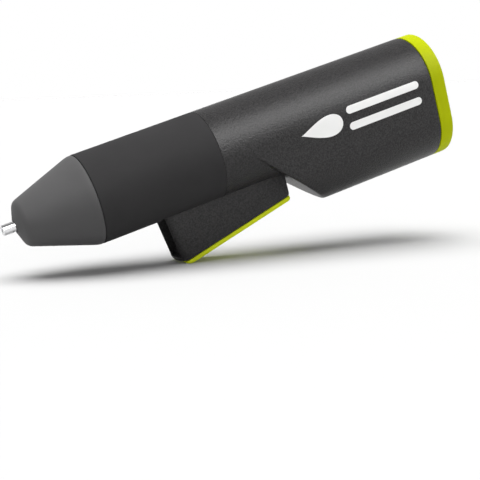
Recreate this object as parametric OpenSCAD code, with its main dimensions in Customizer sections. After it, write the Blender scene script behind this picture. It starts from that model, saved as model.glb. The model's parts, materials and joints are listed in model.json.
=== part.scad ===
// Pen-style hot-melt glue gun for 7 mm sticks, squeezed by an under-barrel lever.
// Origin: centre of the stick inlet in the outer face of the rear cap.
// +X runs out of the inlet, so the nozzle is at the -X end. +Z is up. Millimetres.

/* [Barrel] */
// outer radius of the round barrel
barrel_r = 18; // [17:0.5:20]
// length of the soft grip sleeve
sleeve_len = 51.4; // [48:0.1:54]
// where the sleeve meets the housing, behind the nose
housing_front = -103.6; // [-104:0.1:-103]
// wall of the housing halves
wall = 2; // [1.6:0.1:2.2]
// wall of the soft sleeve
sleeve_wall = 1.8; // [1.6:0.1:1.8]

/* [Rear body] */
// depth of the keel under the barrel, down to its round's centre
keel_drop = 16; // [15:0.5:18]
// where the sloping chin meets the barrel axis line
chin_x = -93.3; // [-95:0.1:-91]
// how far the chin moves back per mm of depth
chin_slope = 0.98; // [0.9:0.01:1.1]
// thickness of the rear cap
cap_t = 6.3; // [6:0.1:7]

/* [Nose] */
// radius of the nose at its front corner
tip_r = 9.4; // [9:0.1:10.5]
// length of the cone behind that corner
cone_len = 26.8; // [25:0.1:28]
// how far the nozzle tube shows
nozzle_show = 5; // [4.5:0.1:6]
// outer radius of the nozzle tube
nozzle_r = 2.1; // [1.9:0.1:2.4]

/* [Glue stick] */
// radius of the stick channel, for a 7 mm stick
stick_r = 3.9; // [3.7:0.05:4]

/* [Lever] */
// width of the lever
lever_w = 16; // [15:0.5:16.4]
// wall of the lever channel
lever_wall = 1.8; // [1.4:0.1:1.8]
// play of the lever pin and of the link pins
pin_play = 0.05; // [0.03:0.01:0.08]

/* [Hidden] */
$fn = 72;
e = 0.01;
nose_x = housing_front - sleeve_len;      // front of the sleeve
under_r = barrel_r - sleeve_wall;         // housing radius under the sleeve
bore_r = barrel_r - wall;                 // inside of the housing
front_r = under_r - wall;                 // inside, under the sleeve
tip_x = nose_x - cone_len;
face_x = tip_x - 2.7;                     // front face around the nozzle
keel_z = -keel_drop - barrel_r;
slot_x0 = -131;
slot_x1 = -75.5;
slot_w = lever_w + 1.2;
half_w = lever_w / 2;
in_w = half_w - lever_wall;
pivot = [-79.5, -12];                     // lever pin, X and Z
link_a = [-97, -24];                      // lower link pin
link_b = [-114, -9.5];                    // upper link pin
jaw_j = [-103, -7];                       // jaw pin
pin_r = 1.5;
small_pin_r = 1.25;
rail_y = 4.6;
rail_z = 9.2;
rail_r = 1.2;
screws = [[-68, -9.5], [-14, -9.5], [-86, 10.5], [-20, 10.5]];

// ---- shared shapes ----
module rod_x(x0, x1, r) translate([x0, 0, 0]) rotate([0, 90, 0]) cylinder(h = x1 - x0, r = r);
module cone_x(x0, x1, r0, r1)
  translate([x0, 0, 0]) rotate([0, 90, 0]) cylinder(h = x1 - x0, r1 = r0, r2 = r1);
module rod_y(x, z, y0, y1, r)
  translate([x, y1, z]) rotate([90, 0, 0]) cylinder(h = y1 - y0, r = r);
module box(x, y, z) translate([x[0], y[0], z[0]]) cube([x[1] - x[0], y[1] - y[0], z[1] - z[0]]);
// a side-view outline in X and Z, given width across Y
module side(points, y0, y1)
  translate([0, y1, 0]) rotate([90, 0, 0]) linear_extrude(y1 - y0) polygon(points);
function arc(c, r, a0, a1, n) =
  [for (i = [0:n]) c + r * [cos(a0 + (a1 - a0) * i / n), sin(a0 + (a1 - a0) * i / n)]];

module stadium(x0, x1, r, top = true) {
  if (top) rod_x(x0, x1, r);
  box([x0, x1], [-r, r], [-keel_drop, 0]);
  translate([0, 0, -keel_drop]) rod_x(x0, x1, r);
}
// region behind the sloping chin, moved back by d and lifted by d from the bottom
function chin_at(z, d) = chin_x - chin_slope * z + d * sqrt(1 + chin_slope * chin_slope);
module chin_region(d, x1) {
  zb = keel_z + d;
  r = 3;
  lead = sqrt(1 + chin_slope * chin_slope) - chin_slope;
  side(concat([[x1, 0], [chin_at(0, d), 0]],
    arc([chin_at(zb, d) + lead * r, zb + r], r, 270 - atan(1 / chin_slope), 270, 5),
    [[x1, zb]]), -30, 30);
}
module keel(d, x1) intersection() {
  union() {
    box([chin_x - 4, x1], [d - barrel_r, barrel_r - d], [-keel_drop, e]);
    translate([0, 0, -keel_drop]) rod_x(chin_x - 4, x1, barrel_r - d);
  }
  chin_region(d, x1);
}
module housing_outer() {
  rod_x(nose_x + 4, housing_front + e, under_r);
  rod_x(housing_front, -cap_t, barrel_r);
  keel(0, -cap_t);
}
module housing_inner() {
  rod_x(nose_x - 1, housing_front + wall + e, front_r);
  rod_x(housing_front + wall, 1, bore_r);
  keel(wall, 1);
}
// room for the bosses, ending inside the wall
module boss_region() {
  rod_x(housing_front, -cap_t, barrel_r - 1);
  keel(1, -cap_t);
}
module lever_slot() box([slot_x0, slot_x1], [-slot_w / 2, slot_w / 2], [-20, -8.2]);

// ---- housing ----
module housing_half(s) {
  difference() {
    union() {
      difference() {
        intersection() {
          housing_outer();
          box([-160, 0], s < 0 ? [-30, 0] : [0, 30], [-40, 30]);
        }
        housing_inner();
        lever_slot();
      }
      intersection() {
        union() {
          for (p = screws)
            rod_y(p[0], p[1], s < 0 ? -17 : 0, s < 0 ? 0 : 17, s < 0 ? 2.8 : 3.6);
          rod_y(pivot[0], pivot[1], s < 0 ? -16 : half_w + 0.6, s < 0 ? -half_w - 0.6 : 16, 3.4);
        }
        boss_region();
      }
    }
    for (p = screws) {
      if (s < 0) rod_y(p[0], p[1], -9.5, 1, 1.25);
      else {
        rod_y(p[0], p[1], -1, 9, 1.45);
        rod_y(p[0], p[1], 8.5, 20, 2.6);
      }
    }
    rod_y(pivot[0], pivot[1], -10.6, 10.6, pin_r);
  }
}
module housing_left() color("#3b3c3e") housing_half(-1);
module housing_right() color("#3b3c3e") housing_half(1);

module grip_sleeve() color("#2f3032") difference() {
  rod_x(nose_x, housing_front, barrel_r);
  rod_x(nose_x - 1, housing_front + 1, under_r);
  lever_slot();
}
module nose_cone() color("#5f6164") {
  corner = 2.2;
  lean = atan((barrel_r - tip_r) / cone_len);
  rotate([0, 90, 0]) rotate_extrude() polygon(concat(
    [[front_r, nose_x + 3.95], [under_r, nose_x + 3.95], [under_r, nose_x],
     [barrel_r - 0.4, nose_x], [barrel_r, nose_x - 0.6]],
    arc([tip_r - 1.75, tip_x + 1.25], corner, lean, -78, 7),
    [[3.5, face_x], [2.8, face_x + 0.4], [2.8, face_x + 1.9], [tip_r - 2.2, tip_x + 1.6],
     [barrel_r - 2.6, nose_x - 2], [front_r, nose_x]]));
}
module cap_solid(x0, x1, r, c) {
  difference() {
    stadium(x0, x1, r);
    difference() {
      stadium(x1 - c, x1 + 1, r + 1);
      cone_x(x1 - c, x1 + e, r, r - c);
      translate([0, 0, -keel_drop]) cone_x(x1 - c, x1 + e, r, r - c);
      translate([0, 0, -keel_drop]) linear_extrude(keel_drop)
        polygon([[x1 - c, -r], [x1 + e, -r + c], [x1 + e, r - c], [x1 - c, r]]);
    }
  }
}
module rear_cap() color("#b7c81d") difference() {
  union() {
    difference() {
      cap_solid(-cap_t, 0, barrel_r, 0.9);
      stadium(-cap_t - 1, -2, bore_r);
    }
    rod_x(-9, -1.5, 6.5);
  }
  rod_x(-10, 1, stick_r);
  rod_x(-10, -5, 5.2);
  box([-10, 1], [-7, 7], [-27, -19]);
}

// ---- hot end ----
module nozzle() color("#c9cbce") difference() {
  union() {
    cone_x(face_x - nozzle_show, face_x - nozzle_show + 0.4 + e, nozzle_r - 0.4, nozzle_r);
    rod_x(face_x - nozzle_show + 0.4, face_x - 0.3 + e, nozzle_r);
    rod_x(face_x - 0.3, -180 + e, 2.7);
    rod_x(-180, -178 + e, 3.6);
    rod_x(-178, -174, 2.7);
  }
  rod_x(-195, -170, 1.1);
}
module melt_chamber() color("#aeb1b4") difference() {
  union() {
    cone_x(-178, -172, 3.6, 6.5);
    rod_x(-172 - e, -147, 6.5);
    rod_x(-147 - e, -139, 5.2);
    box([-166, -148], [-6, 6], [-10.4, 0]);
  }
  rod_x(-168, -138, 3.7);
  cone_x(-172, -168 + e, 1.1, 3.7);
  rod_x(-175, -172 + e, 1.1);
  rod_x(-179, -174, 2.7);
  box([-167, -147], [-4.8, 4.8], [-9.1, -6.5]);
}
module heater_element() color("#d8d4c8") box([-165, -149], [-4.5, 4.5], [-8.8, -6.8]);
module heater_electrodes() color("#b08d3e") {
  box([-165, -147.4], [-4.4, 4.4], [-9.1, -8.8]);
  box([-147.4 - e, -145], [1.2, 3.2], [-9.1, -8.8]);
  box([-165, -147.4], [-4.4, 4.4], [-6.8, -6.5]);
  box([-147.4 - e, -145], [-3.2, -1.2], [-6.8, -6.5]);
}
module heater_clip() color("#8f9194") {
  box([-163, -156], [-6.6, 6.6], [-11, -10.4]);
  for (s = [-1, 1]) box([-163, -156], s < 0 ? [-6.6, -6] : [6, 6.6], [-10.4 - e, -2.6]);
}
module thermal_cutoff() color("#9aa0a6") {
  translate([0, -8.8, -4]) rod_x(-166, -157, 1.6);
  translate([0, -8.8, -4]) rod_x(-169, -154.5, 0.35);
}
module front_support() color("#c8b48c") difference() {
  rod_x(-154, -151.2, front_r);
  rod_x(-155, -150, 6.5);
  box([-155, -150], [-6, 6], [-10.4, 0]);
}
module rear_support() color("#c8b48c") difference() {
  rod_x(-146, -143.5, front_r);
  rod_x(-147, -143, 5.2);
  for (s = [-1, 1]) translate([0, s * rail_y, rail_z]) rod_x(-147, -143, rail_r);
  box([-147, -143], [-4.4, 4.4], [-15, -6.2]);
}
module inlet_collar() color("#c2462e") difference() {
  union() {
    rod_x(-143.4, -133.6, 6.9);
    rod_x(-142.4, -140.9, 7.4);
  }
  rod_x(-145, -139, 5.2);
  rod_x(-140, -133, 3.55);
}
module collar_clip() color("#8f9194") translate([-138, 0, 0]) rotate([0, 90, 0])
  rotate_extrude() translate([7.4, 0]) circle(r = 0.5);

// ---- stick guide and feed rails ----
module guide_tube() color("#55585c") difference() {
  rod_x(-97, -5, 5.2);
  rod_x(-98, -4, 4.3);
}
module rail_bracket() color("#6a6d71") difference() {
  intersection() {
    rod_x(-97, -94, bore_r);
    box([-98, -93], [-9, 9], [-5.6, 20]);
  }
  rod_x(-98, -93, 5.2);
  for (s = [-1, 1]) translate([0, s * rail_y, rail_z]) rod_x(-98, -93, rail_r);
}
module guide_rails() color("#b9bcc0")
  for (s = [-1, 1]) translate([0, s * rail_y, rail_z]) rod_x(-146, -94, rail_r);

function ring(c, t, n, r, k) =
  [for (i = [0:k - 1]) c + r * (cos(360 * i / k) * t + sin(360 * i / k) * n)];
function unit(v) = v / norm(v);
// a round wire along a list of points, k-sided
module wire(pts, r, k) {
  m = len(pts);
  dir = [for (i = [0:m - 1]) unit(pts[min(i + 1, m - 1)] - pts[max(i - 1, 0)])];
  up = [for (d = dir) abs(d[2]) < 0.9 ? [0, 0, 1] : [0, 1, 0]];
  rings = [for (i = [0:m - 1])
    let (t = unit(cross(up[i], dir[i])), n = cross(dir[i], t))
    each ring(pts[i], t, n, r, k)];
  faces = concat(
    [[for (i = [0:k - 1]) i]],
    [[for (i = [0:k - 1]) (m - 1) * k + k - 1 - i]],
    [for (j = [0:m - 2], i = [0:k - 1], a = [j * k + i], b = [j * k + (i + 1) % k])
      each [[a, a + k, b], [b, a + k, b + k]]]);
  polyhedron(rings, faces, convexity = 8);
}
module return_springs() color("#b9bcc0") {
  x0 = -143.2;
  x1 = -112.3;
  turns = 9;
  steps = turns * 12;
  for (s = [-1, 1]) wire(
    [for (i = [0:steps]) [x0 + (x1 - x0) * i / steps,
      s * rail_y + 1.9 * cos(30 * i), rail_z + 1.9 * sin(30 * i)]], 0.26, 5);
}

// ---- power ----
module power_socket() color("#1d1e20") difference() {
  box([-14, -2.05], [-8.4, 8.4], [-28.2, -17.8]);
  box([-12.4, 0], [-7, 7], [-27, -19]);
  for (s = [-1, 1]) box([-15, -12], [s * 4.9 - 0.45, s * 4.9 + 0.45], [-25.4, -20.6]);
}
module socket_contacts() color("#c9a24a") for (s = [-1, 1]) {
  box([-17, -4.6], [s * 4.9 - 0.4, s * 4.9 + 0.4], [-25.2, -20.8]);
}
module circuit_board() color("#1f6b3d") difference() {
  box([-58, -18], [-12, 12], [-15.2, -13.6]);
  for (s = [-1, 1]) translate([-21, s * 9.4, -16]) cylinder(h = 3, r = 1.1);
}
module board_chips() color("#26282a") {
  box([-54, -48.5], [-3, 3], [-16.6, -15.2]);
  box([-46, -41], [5.2, 10.4], [-17.4, -15.2]);
  box([-46.5, -43], [-10, -7], [-16.4, -15.2]);
  box([-40.5, -37], [-10, -7], [-16.4, -15.2]);
  box([-56, -51.5], [5.6, 11], [-13.6, -10.4]);
}
module board_capacitor() color("#2c3350") {
  translate([0, 6.4, -19.4]) rod_x(-36.4, -24.6, 4.1);
  translate([0, 6.4, -19.4]) rod_x(-38, -36.4 + e, 0.4);
}
module board_inductor() color("#a4622c") difference() {
  translate([-30.4, -5.6, -19.6]) cylinder(h = 4.3, r = 5);
  translate([-30.4, -5.6, -20]) cylinder(h = 5, r = 2);
}
module trigger_switch() color("#26282a") {
  box([-74, -71], [-3, 3], [-15.9, -11.9]);
  box([-75.6, -74 + e], [-1, 1], [-14.6, -13]);
}
function lead(s) = [
  [-145, s * 2.2, s > 0 ? -9 : -6.7], [-142.6, s * 2.6, -9.8], [-140, s * 7, -9],
  [-136.5, s * 10.4, -4.4], [-132, s * 11.7, 1.6], [-127, s * 11.9, 3.6],
  [-115, s * 11.9, 4], [-101, s * 11.9, 4], [-94, s * 12.6, 3.4], [-86, s * 13.6, 0.4],
  [-76, s * 13.9, -3], [-67, s * 13.9, -3.6], [-60, s * 13.6, -5.6], [-52, s * 12.6, -8.2],
  [-46, s * 11, -11], [-41, s * 9.6, -12.6], [-36, s * 9, -12.85]];
module wire_red() color("#b3261e") wire(lead(1), 0.7, 8);
module wire_black() color("#1b1b1c") wire(lead(-1), 0.7, 8);

// ---- fasteners ----
module housing_screws() color("#8f9194") for (p = screws) difference() {
  union() {
    rod_y(p[0], p[1], -9, 8.6, 1.25);
    rod_y(p[0], p[1], 8.5, 10.1, 2.3);
  }
  translate([p[0], 9.3, p[1]]) box([-1.6, 1.6], [0, 2], [-0.3, 0.3]);
  translate([p[0], 9.3, p[1]]) box([-0.3, 0.3], [0, 2], [-1.6, 1.6]);
}
module lever_pin() color("#b9bcc0") rod_y(pivot[0], pivot[1], -10.6, 10.6, pin_r);

// ---- lever ----
lev_f1 = [-125.8, -35.6];
lev_f2 = [-76.9, -25.75];
function lev_z(x) = lev_f1[1] + (lev_f2[1] - lev_f1[1]) * (x - lev_f1[0]) / (lev_f2[0] - lev_f1[0]);
module lever_outline(y0, y1) side(concat(
  [[-130.4, -10], [-127.2, -34.5], [-126.7, -35.4], lev_f1, lev_f2, [-76.1, -24.95], [-76, -19]],
  arc(pivot, 3.2, -10, 95, 6)), y0, y1);
// plan outline with rounded front corners, leaning forward as it rises
module lever_plan() translate([-127.3, 0, -34]) rotate([0, -7.5, 0]) translate([0, 0, -12])
  linear_extrude(60) polygon(concat([[70, -half_w], [70, half_w]],
    arc([3.4, half_w - 3.4], 3.4, 90, 156, 6), [[-3, half_w - 4.4], [-3, 4.4 - half_w]],
    arc([3.4, 3.4 - half_w], 3.4, 204, 270, 6)));
module toe_band(x1, z0, z1)
  side([[-129, lev_z(-129) + z0], [-129, lev_z(-129) + z1], [x1, lev_z(x1) + z1], [x1, lev_z(x1) + z0]],
    0.5 - half_w, half_w - 0.5);
module toe_cone(r0, r1) translate([-115.7, 0, lev_z(-128)]) {
  cylinder(h = 1.5, r1 = r0, r2 = r1);
  translate([0, 0, 1.5 - e]) cylinder(h = 3, r = r1);
}
module lever_toe() difference() {
  intersection() {
    toe_band(-120, 0, 1.4);
    toe_cone(11.8, 12.5);
  }
  intersection() {
    toe_band(-124.4, 0.45, 3);
    toe_cone(11.6, 11.7);
    box([-140, -110], [-in_w, in_w], [-60, 0]);
  }
}
module lever_shell() color("#3b3c3e") difference() {
  union() {
    difference() {
      intersection() {
        lever_outline(-half_w, half_w);
        lever_plan();
      }
      side([[-140, 10], [-140, lev_z(-140) + 0.45], [-124.4, lev_z(-124.4) + 0.45],
        [-124.3, lev_z(-124.3) + 2.3], [-120, lev_z(-120) + 2.3], [-119, lev_z(-119) + 1.9],
        [-77.9, lev_z(-77.9) + 1.5], [-77.9, -17], [-70, -17], [-70, 10]], -in_w, in_w);
    }
    lever_toe();
    for (s = [-1, 1])
      box([-128.2, -124.4], s < 0 ? [-half_w - 1.5, -half_w + 1] : [half_w - 1, half_w + 1.5],
        [-10, -7.8]);
    for (s = [-1, 1]) difference() {
      rod_y(link_a[0], link_a[1], s < 0 ? -in_w - e : in_w - 1, s < 0 ? -in_w + 1 : in_w + e, 2.8);
      lever_wall_trim();
    }
  }
  rod_y(pivot[0], pivot[1], -half_w - 1, half_w + 1, pin_r + pin_play);
  rod_y(link_a[0], link_a[1], -half_w + 0.6, half_w - 0.6, pin_r);
}
module lever_wall_trim() box([-140, -70], [-9, 9], [-40, lev_z(-97) - 0.6]);
module lever_pad() color("#b3bf1e") {
  t = [lev_f2[0] - lev_f1[0], lev_f2[1] - lev_f1[1]];
  u = t / norm(t);
  n = [u[1], -u[0]];
  a = lev_f1 - 0.2 * u;
  side(concat([a, a + 0.5 * n],
    [for (q = arc([3.4, 0.5], 1.9, 170, 90, 5)) a + (3.4 + (q[0] - 3.4) * 1.95) * u + q[1] * n],
    [for (q = arc([49.6, 1.1], 1.3, 90, 0, 4)) a + q[0] * u + q[1] * n],
    [a + 50.9 * u + 0.02 * n]), -half_w + 0.3, half_w - 0.3);
  for (i = [0:48]) {
    c = a + 2.33 * n + (4.7 + 0.92 * i) * u;
    rod_y(c[0], c[1], -half_w + 1.2, half_w - 1.2, 0.2);
  }
}
module link_pin_lower() color("#b9bcc0")
  rod_y(link_a[0], link_a[1], -half_w + 0.6, half_w - 0.6, pin_r);

// ---- feed linkage ----
module push_link() color("#d9d6cc") {
  d = link_b - link_a;
  u = d / norm(d);
  n = [-u[1], u[0]];
  difference() {
    union() {
      rod_y(link_a[0], link_a[1], -5, 5, 2.8);
      for (s = [-1, 1]) {
        rod_y(link_b[0], link_b[1], s < 0 ? -5 : 3.2, s < 0 ? -3.2 : 5, 2.5);
        side([link_a + 1.9 * n, link_a - 1.9 * n, link_b - 1.9 * n, link_b + 1.9 * n],
          s < 0 ? -5 : 3.2, s < 0 ? -3.2 : 5);
      }
      side([link_a + 3 * u + 1.9 * n, link_a + 3 * u - 1.9 * n, link_a + 11 * u - 1.9 * n,
        link_a + 11 * u + 1.9 * n], -4, 4);
    }
    rod_y(link_a[0], link_a[1], -6, 6, pin_r + pin_play);
    rod_y(link_b[0], link_b[1], -6, 6, small_pin_r + 0.15);
  }
}
module feed_carriage() color("#d9d6cc") difference() {
  union() {
    box([-112, -98.5], [-5.8, 5.8], [-3, 9]);
    for (s = [-1, 1]) {
      translate([0, s * rail_y, rail_z]) rod_x(-112, -98.5, 2.8);
      box([-107, -98.5], s < 0 ? [-5.8, -3.3] : [3.3, 5.8], [-9.4, -3 + e]);
    }
    box([-112, -98.5], [-rail_y, rail_y], [8, 12]);
  }
  rod_x(-113, -97, 4.2);
  for (s = [-1, 1]) translate([0, s * rail_y, rail_z]) rod_x(-113, -97, rail_r + pin_play);
  box([-113, -97], [-3.3, 3.3], [-12, 0]);
  rod_y(jaw_j[0], jaw_j[1], -4.9, 4.9, small_pin_r);
}
module jaw_pin() color("#b9bcc0") rod_y(jaw_j[0], jaw_j[1], -4.9, 4.9, small_pin_r);
module grip_jaw() color("#a5a8ab") difference() {
  side([[-100.4, -8.6], [-100.4, -5.6], [-103, -4.6], [-106, -4.4], [-107, -3.9], [-107.6, -4.5],
    [-108.3, -3.9], [-108.9, -4.5], [-109.6, -3.9], [-110.4, -4.6], [-113, -6.6], [-116.4, -8.4],
    [-116.6, -10.4], [-115, -12], [-112.6, -12], [-108, -9.8], [-103, -9.6]], -2.9, 2.9);
  rod_y(jaw_j[0], jaw_j[1], -4, 4, small_pin_r + pin_play);
  rod_y(link_b[0], link_b[1], -4, 4, small_pin_r);
}
module link_pin_upper() color("#b9bcc0") rod_y(link_b[0], link_b[1], -5.2, 5.2, small_pin_r);

housing_left();
housing_right();
grip_sleeve();
nose_cone();
rear_cap();
nozzle();
melt_chamber();
heater_element();
heater_electrodes();
heater_clip();
thermal_cutoff();
front_support();
rear_support();
inlet_collar();
collar_clip();
guide_tube();
rail_bracket();
guide_rails();
return_springs();
power_socket();
socket_contacts();
circuit_board();
board_chips();
board_capacitor();
board_inductor();
trigger_switch();
wire_red();
wire_black();
housing_screws();
lever_pin();
lever_shell();
lever_pad();
link_pin_lower();
push_link();
feed_carriage();
jaw_pin();
grip_jaw();
link_pin_upper();
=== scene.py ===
import json
import math

import bmesh
import bpy
import numpy as np
from mathutils import Matrix, Vector


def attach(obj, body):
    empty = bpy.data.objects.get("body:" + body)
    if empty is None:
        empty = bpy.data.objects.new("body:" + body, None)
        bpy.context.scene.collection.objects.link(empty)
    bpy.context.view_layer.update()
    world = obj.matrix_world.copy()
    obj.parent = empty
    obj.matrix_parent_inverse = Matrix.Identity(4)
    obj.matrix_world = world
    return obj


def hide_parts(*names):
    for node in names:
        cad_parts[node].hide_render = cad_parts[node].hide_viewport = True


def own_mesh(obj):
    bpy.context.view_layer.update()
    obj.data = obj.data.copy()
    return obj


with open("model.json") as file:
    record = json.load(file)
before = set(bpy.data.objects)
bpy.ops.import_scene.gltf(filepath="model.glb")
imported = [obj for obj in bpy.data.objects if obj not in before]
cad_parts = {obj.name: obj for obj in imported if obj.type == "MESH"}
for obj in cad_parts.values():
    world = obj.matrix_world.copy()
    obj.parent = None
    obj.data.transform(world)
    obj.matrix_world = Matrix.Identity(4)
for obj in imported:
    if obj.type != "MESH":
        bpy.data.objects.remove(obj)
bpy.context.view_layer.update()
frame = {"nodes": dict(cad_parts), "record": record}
MM = 0.001

# ---- sizes, in millimetres, as on the CAD part ----
BARREL_R = 18.0
KEEL_DROP = 16.0
NOSE_X = -155.0
SLEEVE_END = -103.6
CAP_X = -6.3
CHIN_X, CHIN_SLOPE = -93.3, 0.98
SLOT_X0, SLOT_X1, SLOT_HALF = -131.0, -75.5, 8.6
TIP_R, CONE_LEN = 9.4, 26.8
NOZZLE_R = 2.1
# (x, z) of the four screws, their bosses and the wells that lead to them
SCREWS = [(-68, -9.5), (-14, -9.5), (-86, 10.5), (-20, 10.5)]
BOSS_R, BOSS_Y = 3.6, 8.0
WELL_R, WELL_Y = 2.6, 8.6
BOSS_TOP_R = BARREL_R - 1.0
# the lever: half its width outside and inside, its hinge, and the line of its lower face
LEVER_HALF = 8.0
LEVER_IN = 6.2
PIVOT = (-79.5, -12.0)
LEV_A, LEV_B = np.array([-125.8, -35.6]), np.array([-76.9, -25.75])
LEVER_LEAN = 0.1317
# the centre of the round front of the lever's floor
BOW_X = -115.7
# in metres: the height of the finest grain
SATIN = 0.00003


# ---- mesh helpers ----
def add_object(name, verts, faces, sharp=38):
    """A smooth-shaded mesh object from points in millimetres."""
    mesh = bpy.data.meshes.new(name)
    mesh.from_pydata([tuple(v) for v in np.asarray(verts) * MM], [], faces)
    obj = bpy.data.objects.new(name, mesh)
    bpy.context.collection.objects.link(obj)
    bm = bmesh.new()
    bm.from_mesh(mesh)
    bmesh.ops.remove_doubles(bm, verts=bm.verts, dist=2e-6)
    bmesh.ops.dissolve_degenerate(bm, dist=1e-6, edges=bm.edges)
    bmesh.ops.delete(bm, geom=[v for v in bm.verts if not v.link_faces], context="VERTS")
    bmesh.ops.recalc_face_normals(bm, faces=bm.faces)
    bm.to_mesh(mesh)
    bm.free()
    shade(obj, sharp)
    return obj


def shade(obj, sharp=38):
    obj.data.shade_smooth()
    obj.data.set_sharp_from_angle(angle=math.radians(sharp))


def grid_solid(outer, inner, keep=None, wrap=False):
    """Verts and faces of a closed wall between two grids of points.
    keep says which grid cells stay. With wrap, the last column joins the first."""
    rows, cols = outer.shape[:2]
    width = cols if wrap else cols - 1
    keep = np.ones((rows - 1, width), bool) if keep is None else keep
    verts = np.concatenate([outer.reshape(-1, 3), inner.reshape(-1, 3)])
    off = rows * cols

    def at(i, j):
        return i * cols + j % cols

    def kept(i, j):
        if not 0 <= i < rows - 1:
            return False
        if wrap:
            return keep[i, j % cols]
        return 0 <= j < width and keep[i, j]

    faces = []
    for i in range(rows - 1):
        for j in range(width):
            if not keep[i, j]:
                continue
            a, b, c, d = at(i, j), at(i, j + 1), at(i + 1, j + 1), at(i + 1, j)
            faces += [(a, b, c, d), (d + off, c + off, b + off, a + off)]
            sides = (((-1, 0), (a, b)), ((0, 1), (b, c)), ((1, 0), (c, d)), ((0, -1), (d, a)))
            for (di, dj), (p, q) in sides:
                if not kept(i + di, j + dj):
                    faces.append((q, p, p + off, q + off))
    return verts, faces


def lathe(name, profile, segments=192, sharp=38):
    """A closed outline of (x, radius) points turned round the X axis."""
    angle = np.linspace(0, 2 * math.pi, segments, endpoint=False)
    n = len(profile)
    verts = [(x, r * math.sin(a), r * math.cos(a)) for x, r in profile for a in angle]
    faces = [
        (i * segments + j, i * segments + (j + 1) % segments,
         (i + 1) % n * segments + (j + 1) % segments, (i + 1) % n * segments + j)
        for i in range(n) for j in range(segments)
    ]
    return add_object(name, verts, faces, sharp)


def arc(cx, cy, r, a0, a1, n):
    """Points on an arc, between two angles in degrees."""
    return [(cx + r * math.cos(math.radians(t)), cy + r * math.sin(math.radians(t)))
            for t in np.linspace(a0, a1, n)]


def ring_solid(name, rings):
    """A solid through rings of equal length, closed flat at the first and the last."""
    n = len(rings[0])
    last = (len(rings) - 1) * n
    faces = [tuple(range(n)), tuple(range(last + n - 1, last - 1, -1))]
    faces += [(k + i, k + (i + 1) % n, k + n + (i + 1) % n, k + n + i)
              for k in range(0, last, n) for i in range(n)]
    return add_object(name, [point for ring in rings for point in ring], faces)


def prism(name, outline, y0, y1):
    """A side-view outline of (x, z) points, given width across Y."""
    return ring_solid(name, [[(x, y, z) for x, z in outline] for y in (y0, y1)])


def slab(name, plan, z0, z1):
    """A plan outline of (x, y) points between two heights."""
    return ring_solid(name, [[(x, y, z) for x, y in plan] for z in (z0, z1)])


def tube_y(name, x, z, y0, y1, r, n=48):
    """A round bar along Y."""
    angle = np.linspace(0, 2 * math.pi, n, endpoint=False)
    return prism(name, [(x + r * math.cos(a), z + r * math.sin(a)) for a in angle], y0, y1)


def apply_modifiers(obj):
    """Replace the object's mesh by what its modifiers make of it."""
    graph = bpy.context.evaluated_depsgraph_get()
    mesh = bpy.data.meshes.new_from_object(obj.evaluated_get(graph))
    obj.modifiers.clear()
    old = obj.data
    obj.data = mesh
    bpy.data.meshes.remove(old)


def boolean(obj, other, how):
    """Join, cut or intersect obj with other, which is used up."""
    mod = obj.modifiers.new(how, "BOOLEAN")
    mod.operation, mod.solver, mod.object = how, "EXACT", other
    bpy.context.view_layer.update()
    apply_modifiers(obj)
    bpy.data.objects.remove(other)


def soften(obj, width, segments=3, angle=32):
    """Round off the sharp edges by a width in millimetres."""
    mod = obj.modifiers.new("soften", "BEVEL")
    mod.width, mod.segments = width * MM, segments
    mod.limit_method, mod.angle_limit = "ANGLE", math.radians(angle)
    mod.harden_normals = False
    bpy.context.view_layer.update()
    apply_modifiers(obj)
    shade(obj, 30)


# ---- the housing's outer form ----
def smax(a, b, k):
    """The larger of two values, rounded over where they are within k of each other."""
    h = np.maximum(k - np.abs(a - b), 0) / k
    return np.maximum(a, b) + h * h * k / 4


def body_distance(x, y, z):
    """Signed distance outside the barrel with its keel, in millimetres."""
    barrel = np.hypot(y, z) - BARREL_R
    keel = np.hypot(y, z - np.clip(z, -KEEL_DROP, 0)) - BARREL_R
    chin = (CHIN_X - CHIN_SLOPE * z - x) / math.hypot(1, CHIN_SLOPE)
    return np.minimum(barrel, smax(keel, chin, 0.9))


def body_radius(x, phi, level):
    """How far from the barrel's axis the form lies, offset by level."""
    lo, hi = np.full(x.shape, 6.0), np.full(x.shape, 50.0)
    for _ in range(34):
        mid = (lo + hi) / 2
        inside = body_distance(x, mid * np.sin(phi), mid * np.cos(phi)) < level
        lo, hi = np.where(inside, mid, lo), np.where(inside, hi, mid)
    return (lo + hi) / 2


def columns(n_side, n_slot):
    """Angles from the top down one side to the bottom, and which one is the slot's edge."""
    edge = math.pi - math.asin(SLOT_HALF / BARREL_R)
    phi = np.concatenate([np.linspace(0, edge, n_side), np.linspace(edge, math.pi, n_slot)[1:]])
    return phi, n_side - 1


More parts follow.
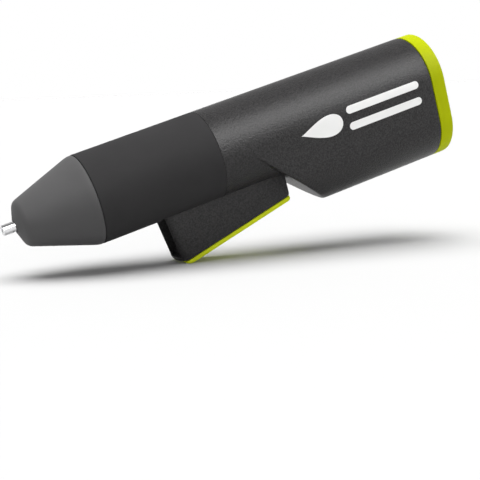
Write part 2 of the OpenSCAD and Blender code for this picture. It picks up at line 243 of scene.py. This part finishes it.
def housing_half(name, side):
    """Half of the barrel with its keel, a 2 mm wall with the lever's slot left out.
    The rows crowd together at the two seams, where the edge is rounded, and at the chin."""
    phi, slot_col = columns(170, 22)
    rows = np.concatenate([
        [SLEEVE_END + 0.02, SLEEVE_END + 0.08, SLEEVE_END + 0.18, SLEEVE_END + 0.35],
        np.arange(-102.5, -94.2, 1.3), np.arange(-94, -76, 0.33), [SLOT_X1],
        np.arange(-75.2, -57.5, 0.33), np.arange(-57, -8, 3.5), [-7.0, -6.75, -6.55, CAP_X - 0.08]])
    x, p = np.meshgrid(rows, phi, indexing="ij")
    inset = np.interp(rows, [rows[0], rows[1], rows[2], rows[3], -7.0, -6.75, -6.55, rows[-1]],
                      [0.14, 0.07, 0.02, 0, 0, 0.06, 0.24, 0.5])[:, None]
    r_out = body_radius(x, p, 0.0) - inset
    r_in = body_radius(x, p, -2.0)
    keep = np.ones((len(rows) - 1, len(phi) - 1), bool)
    keep[np.searchsorted(rows, SLOT_X0):np.searchsorted(rows, SLOT_X1), slot_col:] = False
    gap = 0.012 * side
    outer = np.stack([x, side * r_out * np.sin(p) + gap, r_out * np.cos(p)], -1)
    inner = np.stack([x, side * r_in * np.sin(p) + gap, r_in * np.cos(p)], -1)
    return add_object(name, *grid_solid(outer, inner, keep))


# ---- materials ----
def material(name, colour, rough, metal=0.0, gloss=0.5):
    mat = bpy.data.materials.new(name)
    mat.use_nodes = True
    tree = mat.node_tree
    bsdf = tree.nodes["Principled BSDF"]
    bsdf.inputs["Base Color"].default_value = (*colour, 1)
    bsdf.inputs["Roughness"].default_value = rough
    bsdf.inputs["Metallic"].default_value = metal
    bsdf.inputs["Specular IOR Level"].default_value = gloss
    return mat, tree, bsdf


def noise(tree, scale, detail=2.0, stretch=(1, 1, 1)):
    """Noise that stays with the object, from 0 to 1."""
    coord = tree.nodes.new("ShaderNodeTexCoord")
    place = tree.nodes.new("ShaderNodeMapping")
    place.inputs["Scale"].default_value = stretch
    node = tree.nodes.new("ShaderNodeTexNoise")
    node.inputs["Scale"].default_value = scale
    node.inputs["Detail"].default_value = detail
    tree.links.new(coord.outputs["Object"], place.inputs["Vector"])
    tree.links.new(place.outputs["Vector"], node.inputs["Vector"])
    return node.outputs["Fac"]


def spread(tree, value, low, high):
    """A value from 0 to 1 mapped to the range from low to high."""
    node = tree.nodes.new("ShaderNodeMapRange")
    node.inputs["To Min"].default_value = low
    node.inputs["To Max"].default_value = high
    tree.links.new(value, node.inputs["Value"])
    return node.outputs["Result"]


def tint(tree, value, dark, light):
    """A colour between dark and light."""
    node = tree.nodes.new("ShaderNodeMix")
    node.data_type = "RGBA"
    node.inputs["A"].default_value = (*dark, 1)
    node.inputs["B"].default_value = (*light, 1)
    tree.links.new(value, node.inputs["Factor"])
    return node.outputs["Result"]


def bump(tree, bsdf, value, strength, distance):
    node = tree.nodes.new("ShaderNodeBump")
    node.inputs["Strength"].default_value = strength
    node.inputs["Distance"].default_value = distance
    tree.links.new(value, node.inputs["Height"])
    tree.links.new(node.outputs["Normal"], bsdf.inputs["Normal"])


def blend(tree, first, second, share):
    """Two values mixed, with a given share of the second."""
    node = tree.nodes.new("ShaderNodeMix")
    node.inputs["Factor"].default_value = share
    tree.links.new(first, node.inputs["A"])
    tree.links.new(second, node.inputs["B"])
    return node.outputs["Result"]


def moulded(name, colour, rough, grain=2600, depth=0.3, height=0.00006,
            vary=0.12, gloss=0.4, pit_shade=0.0):
    """Moulded plastic: a fine grain in the surface and a slight mottle.
    The last argument sets how much of the mottle follows the fine grain, and how harsh it is: the
    colour is then darker where the grain's bump is low, which is painted shade in the grain's pits."""
    mat, tree, bsdf = material(name, colour, rough, gloss=gloss)
    fine = noise(tree, grain, 3)
    # a share of the fine grain in the colour makes the grain's low points darker: painted shade in its
    # pits
    broad = spread(tree, blend(tree, noise(tree, 60, 4), fine, pit_shade), -pit_shade, 1 + pit_shade)
    dark = tuple(c * (1 - vary) for c in colour)
    light = tuple(min(1, c * (1 + vary)) for c in colour)
    tree.links.new(tint(tree, broad, dark, light), bsdf.inputs["Base Color"])
    tree.links.new(spread(tree, fine, rough - 0.06, rough + 0.06), bsdf.inputs["Roughness"])
    bump(tree, bsdf, fine, depth, height)
    return mat


def metal(name, colour, rough, stretch=(1, 14, 14), scale=900, depth=0.12):
    """Drawn or turned metal with fine lines along its length."""
    mat, tree, bsdf = material(name, colour, rough, metal=1.0)
    lines = noise(tree, scale, 3, stretch)
    dark = tuple(c * 0.88 for c in colour)
    tree.links.new(tint(tree, lines, dark, colour), bsdf.inputs["Base Color"])
    tree.links.new(spread(tree, lines, rough - 0.07, rough + 0.07), bsdf.inputs["Roughness"])
    bump(tree, bsdf, lines, depth, SATIN)
    return mat


MATS = {
    # the body's colour follows its grain closely: painted shade in the grain's pits
    "body_plastic": moulded("body_plastic", (0.0205, 0.0196, 0.0200), 0.4, grain=1700,
                            depth=1.0, height=0.0002, vary=0.55, gloss=0.24, pit_shade=0.95),
    "grip_rubber": moulded("grip_rubber", (0.0275, 0.0268, 0.0275), 0.75, grain=4200,
                           depth=0.12, height=SATIN, gloss=0.08),
    "nose_plastic": moulded("nose_plastic", (0.073, 0.072, 0.073), 0.6, grain=3800,
                            depth=0.1, height=SATIN, gloss=0.12),
    "lime_plastic": moulded("lime_plastic", (0.38, 0.435, 0.0005), 0.5, grain=3200,
                            depth=0.12, height=SATIN, vary=0.04, gloss=0.05),
    "pad_rubber": moulded("pad_rubber", (0.62, 0.70, 0.012), 0.55, grain=3200,
                          depth=0.12, height=SATIN, vary=0.04, gloss=0.1),
    "nozzle_steel": metal("nozzle_steel", (0.78, 0.78, 0.79), 0.2),
    "cast_aluminium": metal("cast_aluminium", (0.62, 0.63, 0.64), 0.5, (1, 1, 1), 700, 0.3),
    "heater_ceramic": moulded("heater_ceramic", (0.7, 0.68, 0.6), 0.7, grain=900),
    "contact_brass": metal("contact_brass", (0.72, 0.52, 0.22), 0.32),
    "spring_steel": metal("spring_steel", (0.42, 0.43, 0.44), 0.3),
    "support_plastic": moulded("support_plastic", (0.5, 0.42, 0.28), 0.5),
    "collar_silicone": moulded("collar_silicone", (0.5, 0.07, 0.03), 0.45, depth=0.15),
    "inner_plastic": moulded("inner_plastic", (0.10, 0.105, 0.11), 0.5),
    "pin_steel": metal("pin_steel", (0.6, 0.6, 0.61), 0.25, (14, 1, 14)),
    "capacitor_sleeve": moulded("capacitor_sleeve", (0.03, 0.04, 0.1), 0.3, depth=0.1),
    "copper_winding": metal("copper_winding", (0.5, 0.22, 0.09), 0.35, (1, 1, 60), 500, 0.5),
    "board_laminate": moulded("board_laminate", (0.02, 0.17, 0.06), 0.3, grain=1200, depth=0.2),
    "component_black": moulded("component_black", (0.02, 0.02, 0.02), 0.45),
    "wire_red": moulded("wire_red", (0.45, 0.02, 0.015), 0.4, depth=0.1),
    "wire_black": moulded("wire_black", (0.015, 0.015, 0.015), 0.4, depth=0.1),
    "linkage_plastic": moulded("linkage_plastic", (0.66, 0.64, 0.58), 0.45, depth=0.15),
    "mark_white": moulded("mark_white", (0.86, 0.86, 0.85), 0.5, grain=1800, depth=0.08, vary=0.03),
}

slot_of = {s["node"]: s["material_slot"] for s in frame["record"]["subparts"]}
for node, obj in frame["nodes"].items():
    obj.data.materials.clear()
    obj.data.materials.append(MATS[slot_of[node]])
    shade(obj, 35)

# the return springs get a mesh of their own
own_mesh(frame["nodes"]["return_springs"])


def finish_piece(obj, body, slot, *nodes, mat=None):
    """Give a piece its material, the body it moves with and the nodes that it replaces."""
    obj.data.materials.clear()
    obj.data.materials.append(MATS[mat or slot])
    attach(obj, body)
    if nodes:
        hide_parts(*nodes)
    return obj


# ---- housing, sleeve, nose, cap, nozzle ----
finish_piece(housing_half("housing_left_shell", -1), "base", "body_plastic", "housing_left")


def right_half():
    """The right half, with a deep well for each screw."""
    obj = housing_half("housing_right_shell", 1)
    for x, z in SCREWS:
        boss = tube_y("boss", x, z, BOSS_Y, BOSS_TOP_R, BOSS_R)
        if z > 0:
            # the upper bosses would stick out of the round barrel
            inside = [(-100, 0.0005), (-100, BOSS_TOP_R), (-10, BOSS_TOP_R), (-10, 0.0005)]
            boolean(boss, lathe("inside", inside), "INTERSECT")
        boolean(obj, boss, "UNION")
        boolean(obj, tube_y("well", x, z, WELL_Y, 21, WELL_R), "DIFFERENCE")
    shade(obj, 38)
    return obj


finish_piece(right_half(), "base", "body_plastic", "housing_right")


def grip():
    """The soft sleeve, open at the bottom from the front of the lever's slot backwards."""
    half, slot_col = columns(90, 16)
    phi = np.concatenate([half, 2 * math.pi - half[::-1][1:-1]])
    last = len(phi) - slot_col
    rows = np.concatenate([[NOSE_X, NOSE_X + 0.1, NOSE_X + 0.3], np.arange(-154, SLOT_X0 - 1, 2.5),
                           [SLOT_X0], np.arange(-129, -104.5, 2.5),
                           [SLEEVE_END - 0.45, SLEEVE_END - 0.16, SLEEVE_END - 0.02]])
    inset = np.interp(rows, [NOSE_X, NOSE_X + 0.1, NOSE_X + 0.3,
                             SLEEVE_END - 0.45, SLEEVE_END - 0.16, SLEEVE_END - 0.02],
                      [0.22, 0.07, 0, 0, 0.05, 0.16])
    x, p = np.meshgrid(rows, phi, indexing="ij")
    r = BARREL_R - inset[:, None] + 0 * p
    outer = np.stack([x, r * np.sin(p), r * np.cos(p)], -1)
    inner = np.stack([x, 16.2 * np.sin(p), 16.2 * np.cos(p)], -1)
    keep = np.ones((len(rows) - 1, len(phi)), bool)
    keep[np.searchsorted(rows, SLOT_X0):, slot_col:last] = False
    return add_object("grip_sleeve_skin", *grid_solid(outer, inner, keep, wrap=True))


finish_piece(grip(), "base", "grip_rubber", "grip_sleeve")

# the nose: the rim in the sleeve, the cone, its rounded end, and the bore from front to back
slope = math.degrees(math.atan((BARREL_R - TIP_R) / CONE_LEN))
cone_end = NOSE_X - CONE_LEN
nose_profile = (
    [(NOSE_X + 3.9, 14.2), (NOSE_X + 3.9, 16.15), (NOSE_X + 0.02, 16.15), (NOSE_X + 0.02, 17.2)]
    + [(NOSE_X - 0.1, 17.6), (NOSE_X - 0.3, 17.82), (NOSE_X - 0.7, 17.92), (NOSE_X - 1.3, 17.86),
       (NOSE_X - 2.2, 17.66), (NOSE_X - 3.2, 17.38)]
    + arc(cone_end + 2.2, TIP_R - 3.1, 3.35, 90 + slope, 160, 16)
    + [(cone_end - 2.66, 2.75), (cone_end - 2.62, 2.55), (cone_end - 2.45, 2.4)]
    + [(cone_end - 2.2, 2.4), (cone_end - 1.9, 2.8), (cone_end - 0.8, 2.8),
       (cone_end + 1.6, 7.0), (NOSE_X - 2, 14.2)]
)
finish_piece(lathe("nose_cone_shell", nose_profile, 256), "base", "nose_plastic", "nose_cone")

# the nozzle: a collar inside the nose, and the tube that stands out of it
face = cone_end - 2.7
tip = face - 5.0
nozzle_profile = (
    [(-174, 1.1), (-174, 2.68), (-178, 2.68), (-178, 3.6), (-180, 3.6), (-180, 2.68),
     (face + 1, 2.68), (face + 0.7, NOZZLE_R)]
    + arc(tip + 0.45, NOZZLE_R - 0.45, 0.45, 90, 180, 7)
    + [(tip, 1.35), (tip + 0.25, 1.1)]
)
finish_piece(lathe("nozzle_tube", nozzle_profile, 96, sharp=30), "base", "nozzle_steel", "nozzle")


def stadium_loop(x, inset, n=64):
    """The end view of barrel and keel at one x."""
    r = BARREL_R - inset
    top = [(x, r * math.cos(a), r * math.sin(a)) for a in np.linspace(0, math.pi, n)]
    sides = np.linspace(0, 1, 12)[1:-1]
    left = [(x, -r, -KEEL_DROP * t) for t in sides]
    bottom = [(x, r * math.cos(a), -KEEL_DROP + r * math.sin(a))
              for a in np.linspace(math.pi, 2 * math.pi, n)]
    right = [(x, r, -KEEL_DROP * (1 - t)) for t in sides]
    return top + left + bottom + right


def circle_loop(x, r, n=64):
    return [(x, r * math.cos(a), r * math.sin(a))
            for a in np.linspace(0, 2 * math.pi, n, endpoint=False)]


def slot_loop(x, w, h, cz, r, n=6):
    """A rectangle with rounded corners, w and h from its middle at height cz."""
    pts = []
    corners = ((w - r, h - r, 0), (-w + r, h - r, 90), (-w + r, -h + r, 180), (w - r, -h + r, 270))
    for cy, cc, a0 in corners:
        pts += [(x, cy + r * math.cos(math.radians(t)), cz + cc + r * math.sin(math.radians(t)))
                for t in np.linspace(a0, a0 + 90, n)]
    return pts


def cap():
    """The rear cap: a plate with a rounded rim, the stick inlet and the power inlet."""
    bm = bmesh.new()

    def loop(points):
        return [bm.verts.new(Vector(p) * MM) for p in points]

    def strip(a, b):
        n = len(a)
        for i in range(n):
            bm.faces.new((a[i], a[(i + 1) % n], b[(i + 1) % n], b[i]))

    def ring(points_list):
        made = [loop(p) for p in points_list]
        for a, b in zip(made, made[1:]):
            strip(a, b)
        return made[0], made[-1]

    def edges(loops):
        return [bm.edges.get((v[i], v[(i + 1) % len(v)])) or bm.edges.new((v[i], v[(i + 1) % len(v)]))
                for v in loops for i in range(len(v))]

    rim = [(CAP_X + 0.1, 2.0), (CAP_X + 0.1, 0.22), (CAP_X + 0.18, 0.07), (CAP_X + 0.36, 0)]
    rim += [(-1.1 + 1.1 * math.sin(a), 1.1 - 1.1 * math.cos(a)) for a in np.linspace(0, math.pi / 2, 9)]
    inner, outer = ring([stadium_loop(x, i) for x, i in [(-2.2, 2.0)] + rim])
    hole_out, hole_in = ring([circle_loop(x, r) for x, r in
                              ((0, 4.35), (-0.16, 4.08), (-0.45, 3.92), (-2.2, 3.9))])
    socket_out, socket_in = ring([slot_loop(x, w, h, -23, r) for x, w, h, r in
                                  ((0, 7.3, 4.3, 1.3), (-0.2, 7.08, 4.08, 1.1),
                                   (-0.5, 7.0, 4.0, 1.0), (-2.2, 7.0, 4.0, 1.0))])
    for loops in ([outer, hole_out, socket_out], [inner, hole_in, socket_in]):
        bmesh.ops.triangle_fill(bm, use_beauty=True, use_dissolve=False, edges=edges(loops))
    bmesh.ops.recalc_face_normals(bm, faces=bm.faces)
    mesh = bpy.data.meshes.new("rear_cap_shell")
    bm.to_mesh(mesh)
    bm.free()
    obj = bpy.data.objects.new("rear_cap_shell", mesh)
    bpy.context.collection.objects.link(obj)
    shade(obj, 38)
    return obj


finish_piece(cap(), "base", "lime_plastic", "rear_cap")

# ---- lever and its pad ----
along = (LEV_B - LEV_A) / np.linalg.norm(LEV_B - LEV_A)
below = np.array([along[1], -along[0]])


def lever_z(x):
    return LEV_A[1] + (x - LEV_A[0]) * along[1] / along[0]


def above(x, rise):
    """A point at a height over the lever's lower face."""
    return (x, lever_z(x) + rise)


def toe_band(name, x1, low, high, half):
    """A flat bar along the lever's floor, from in front of the lever to x1."""
    outline = [above(-129, low), above(-129, high), above(x1, high), above(x1, low)]
    return prism(name, outline, -half, half)


def toe_cone(name, r_low, r_high):
    """The round front of the lever's floor, leaning out as it rises."""
    z0 = lever_z(-128)
    angle = np.linspace(0, 2 * math.pi, 140, endpoint=False)
    return ring_solid(name, [
        [(BOW_X + r * math.cos(a), r * math.sin(a), z) for a in angle]
        for r, z in ((r_low, z0), (r_high, z0 + 1.5), (r_high, z0 + 4.5))])


def lever():
    """The lever: a channel open at the top and the front, with a round front to its floor."""
    outline = (
        [(-130.4, -10.0), (-127.2, -34.5), (-127.0, -35.05), (-126.5, -35.48), tuple(LEV_A)]
        + [tuple(LEV_B - 0.6 * along), (-76.45, -25.5), (-76.1, -24.85), (-76.0, -19.0)]
        + arc(PIVOT[0], PIVOT[1], 3.2, -8, 95, 12)
    )
    obj = prism("lever_channel", outline, -LEVER_HALF, LEVER_HALF)
    half = LEVER_HALF
    # the front leans forward as it rises, and its upright edges are rounded
    front = (
        [(-55, -half), (-55, half)] + arc(-123.9, half - 3.4, 3.4, 90, 156, 12)
        + [(-130.3, half - 4.4), (-130.3, 4.4 - half)] + arc(-123.9, 3.4 - half, 3.4, 204, 270, 12)
    )
    plan = slab("front", front, -46, 14)
    for vert in plan.data.vertices:
        vert.co.x -= LEVER_LEAN * (vert.co.z + 0.034)
    boolean(obj, plan, "INTERSECT")
    channel = [
        (-140, 10), above(-140, 0.45), above(-124.4, 0.45), above(-124.3, 2.3), above(-120, 2.3),
        above(-119, 1.9), above(-77.9, 1.5), (-77.9, -17), (-60, -17), (-60, 10),
    ]
    boolean(obj, prism("channel", channel, -LEVER_IN, LEVER_IN), "DIFFERENCE")
    toe = toe_band("toe", -120, 0.02, 1.4, half - 0.45)
    boolean(toe, toe_cone("bow", 11.8, 12.5), "INTERSECT")
    boolean(obj, toe, "UNION")
    hollow = toe_band("hollow", -124.4, 0.45, 3.0, LEVER_IN)
    boolean(hollow, toe_cone("inner_bow", 11.5, 11.7), "INTERSECT")
    boolean(obj, hollow, "DIFFERENCE")
    soften(obj, 0.22)
    return obj


finish_piece(lever(), "lever", "body_plastic", "lever_shell")


def pad():
    """The ribbed pad: u runs along it from the front, v across it from -1 to 1."""
    length, half = 50.9, LEVER_HALF - 0.3
    rib_start, rib_pitch, rib_count = 4.24, 0.92, 49
    u = np.concatenate([np.linspace(0, 5, 30)[:-1], np.linspace(5, 49.5, 700)[:-1],
                        np.linspace(49.5, length, 16)])
    v = np.linspace(-1, 1, 40)
    v = np.sign(v) * (1 - (1 - np.abs(v)) ** 1.7)
    front = np.clip(1 - u / 3.4, 0, 1)
    back = np.clip((u - (length - 1.3)) / 1.3, 0, 1)
    deep = 0.5 + 1.9 * np.sqrt(1 - front * front) - 1.3 * (1 - np.sqrt(1 - back * back))
    ribs = 0.13 * (0.5 - 0.5 * np.cos(2 * math.pi * (u - rib_start) / rib_pitch))
    ribs = ribs * ((u > rib_start) & (u < rib_start + rib_pitch * rib_count))
    edge = np.clip((1 - np.abs(v)) * half / 0.8, 0, 1)
    crown = np.sqrt(1 - (1 - edge) ** 2)
    ribbed = np.clip((1 - np.abs(v)) * half / 0.7 - 0.6, 0, 1)
    height = deep[:, None] + ribs[:, None] * ribbed[None, :]
    drop = height - 0.6 * (1 - crown)[None, :] * np.minimum(1, deep[:, None])
    r = 1.6
    width = half - r + np.sqrt(r * r - np.clip(r - u, 0, r) ** 2)
    base = LEV_A - 0.2 * along
    y = width[:, None] * v[None, :]
    line = base[None, :] + u[:, None] * along[None, :]

    def surface(depth):
        return np.stack([line[:, 0:1] + depth * below[0], y, line[:, 1:2] + depth * below[1]], -1)

    # the upper face lies a little below the lever, and under the lower face where that is higher
    shelf, skin = 0.46, 0.05
    lower = surface(drop)
    upper = surface(shelf + 0 * y)
    thin = lower - skin * np.array([below[0], 0, below[1]])
    upper = np.where(drop[..., None] < shelf + skin, thin, upper)
    return add_object("lever_pad_ribbed", *grid_solid(lower, upper), sharp=50)


def pad_gap_shade():
    """A thin dark plate in the gap between the lever and the ribbed pad, set in from its edges: painted
    shade for that gap.
    """
    thick, inset = 0.5, 1.5
    front, back = LEV_A + 0.6 * along, LEV_A + 49.6 * along
    points = [front, back, back + thick * below, front + thick * below]
    return prism("lever_pad_gap_shade", [tuple(p) for p in points], inset - LEVER_HALF,
                 LEVER_HALF - inset)


finish_piece(pad(), "lever", "pad_rubber", "lever_pad")
# a dark plate filling the gap above the pad: painted shade
finish_piece(pad_gap_shade(), "lever", "pad_rubber", "lever_pad", mat="grip_rubber")


# ---- a plain printed mark: a drop and two bars ----
def printed(name, rows):
    """Rows of (x, z) points, printed on the housing's left side."""
    cols = len(rows[0])
    count = len(rows) * cols
    verts = []
    for lift in (0.02, -0.06):
        for row in rows:
            for x, z in row:
                r = BARREL_R + lift
                verts.append((x, -(math.sqrt(r * r - z * z) if z > 0 else r), z))
    faces = []
    for i in range(len(rows) - 1):
        for j in range(cols - 1):
            a, d = i * cols + j, (i + 1) * cols + j
            b, c = a + 1, d + 1
            faces += [(a, b, c, d), (d + count, c + count, b + count, a + count)]
    rim = list(range(cols)) + [(i + 1) * cols - 1 for i in range(1, len(rows))]
    rim += [count - 1 - j for j in range(1, cols)] + [i * cols for i in range(len(rows) - 2, 0, -1)]
    faces += [(q, p, p + count, q + count) for p, q in zip(rim, rim[1:] + rim[:1])]
    return add_object(name, verts, faces)


def band(top, bottom, n=10):
    """Rows between an upper and a lower edge of equal length."""
    top, bottom = np.array(top), np.array(bottom)
    return [[tuple(p) for p in top * (1 - t) + bottom * t] for t in np.linspace(0, 1, n)]


def printed_shape(name, x, z, swell):
    """A printed shape that reaches swell above and below the height z."""
    return printed(name, band(np.stack([x, z + swell], 1), np.stack([x, z - swell], 1)))


def mark():
    t = np.linspace(0.03, math.pi - 0.03, 60)
    swell = 6.1 * np.sin(t) * np.sin(t / 2) ** 1.4
    pieces = [printed_shape("mark_drop", -69.3 + 9.6 * (1 - np.cos(t)), -1.7, swell)]
    half, x0, x1 = 1.6, -46.0, -14.5
    for name, z in (("mark_bar_upper", 1.7), ("mark_bar_lower", -5.1)):
        x = np.concatenate([x0 - half * np.cos(np.linspace(0.08, math.pi / 2, 12)),
                            np.linspace(x0, x1, 30)[1:-1],
                            x1 + half * np.sin(np.linspace(0, math.pi / 2 - 0.08, 12))])
        end = np.clip(np.maximum(x0 - x, x - x1), 0, half)
        pieces.append(printed_shape(name, x, z, np.sqrt(half * half - end * end)))
    return pieces


for piece in mark():
    finish_piece(piece, "base", None, mat="mark_white")


# ---- lights, floor and camera ----
def strip_light(name, centre, direction, size, power):
    """A long softbox, one metre from centre and parallel to the tool, seen only as gloss."""
    lamp = bpy.data.lights.new(name, "AREA")
    lamp.shape, lamp.size, lamp.size_y = "RECTANGLE", size[0], size[1]
    lamp.energy = power
    obj = bpy.data.objects.new(name, lamp)
    bpy.context.collection.objects.link(obj)
    facing = Vector(direction).normalized()
    lengthwise = (Vector((1, 0, 0)) - facing * facing.x).normalized()
    turn = Matrix((lengthwise.cross(facing), lengthwise, facing)).transposed()
    obj.location = centre + facing
    obj.rotation_mode = "QUATERNION"
    obj.rotation_quaternion = turn.to_quaternion()
    obj.visible_diffuse = False


cam_x = Vector((0.87308, -0.42016, -0.24740))
cam_y = Vector((0.35136, 0.19035, 0.91669))
cam_z = Vector((-0.33806, -0.88726, 0.31382))
cam = bpy.data.objects.new("camera", bpy.data.cameras.new("camera"))
bpy.context.collection.objects.link(cam)
bpy.context.scene.camera = cam
cam.data.lens, cam.data.sensor_width = 94.915, 36.0
cam.matrix_world = Matrix.Translation((-0.27276, -0.45669, 0.12310)) @ Matrix(
    (cam_x, cam_y, cam_z)).transposed().to_4x4()

bpy.context.scene.view_settings.view_transform = "Standard"
world = bpy.data.worlds.new("studio")
bpy.context.scene.world = world
world.use_nodes = True
# the floor's upright: the camera looks down on the floor by 8 degrees, with a slight roll
tilt = math.radians(8)
up = (cam_y * math.cos(tilt) + cam_z * math.sin(tilt) - cam_x * 0.04).normalized()
across = (cam_x - up * cam_x.dot(up)).normalized()
away = up.cross(across)


def sky(tree, horizon, zenith):
    """White round the horizon of the table, dimmer overhead."""
    coord = tree.nodes.new("ShaderNodeTexCoord")
    dot = tree.nodes.new("ShaderNodeVectorMath")
    dot.operation = "DOT_PRODUCT"
    dot.inputs[1].default_value = up
    fall = tree.nodes.new("ShaderNodeMapRange")
    fall.interpolation_type = "SMOOTHSTEP"
    for key, value in (("From Min", 0.2), ("From Max", 0.6), ("To Min", horizon), ("To Max", zenith)):
        fall.inputs[key].default_value = value
    tree.links.new(coord.outputs["Generated"], dot.inputs[0])
    tree.links.new(dot.outputs["Value"], fall.inputs["Value"])
    tree.links.new(fall.outputs["Result"], tree.nodes["Background"].inputs["Strength"])


sky(world.node_tree, 1.0, 0.25)
world.node_tree.nodes["Background"].inputs["Color"].default_value = (1, 1, 1, 1)

# the floor passes just under the front of the lever
rest = Vector((-0.1268, 0, -0.0365)) - up * 0.0006
mesh = bpy.data.meshes.new("floor")
corners = [rest + across * a + away * b for a, b in ((-3, -3), (3, -3), (3, 3), (-3, 3))]
mesh.from_pydata(corners, [], [(0, 1, 2, 3)])
floor = bpy.data.objects.new("floor", mesh)
bpy.context.collection.objects.link(floor)
floor_mat, _, floor_bsdf = material("floor_paper", (0.5, 0.5, 0.5), 0.9)
floor_bsdf.inputs["Specular IOR Level"].default_value = 0.0
mesh.materials.append(floor_mat)

centre = Vector((-0.08, 0, 0))
strip_light("strip", centre, (0.25, -0.68, 0.69), (0.66, 1.7), 31)
strip_light("back_strip", centre, (0.1, 0.72, 0.69), (0.6, 1.7), 1.2)

# a wide soft light from straight above the table, with no reflection of its own
lamp = bpy.data.lights.new("overhead", "SUN")
lamp.energy, lamp.angle = 5.15, math.radians(62)
overhead = bpy.data.objects.new("overhead", lamp)
bpy.context.collection.objects.link(overhead)
overhead.visible_glossy = False
overhead.rotation_mode = "QUATERNION"
overhead.rotation_quaternion = up.to_track_quat("Z", "Y")
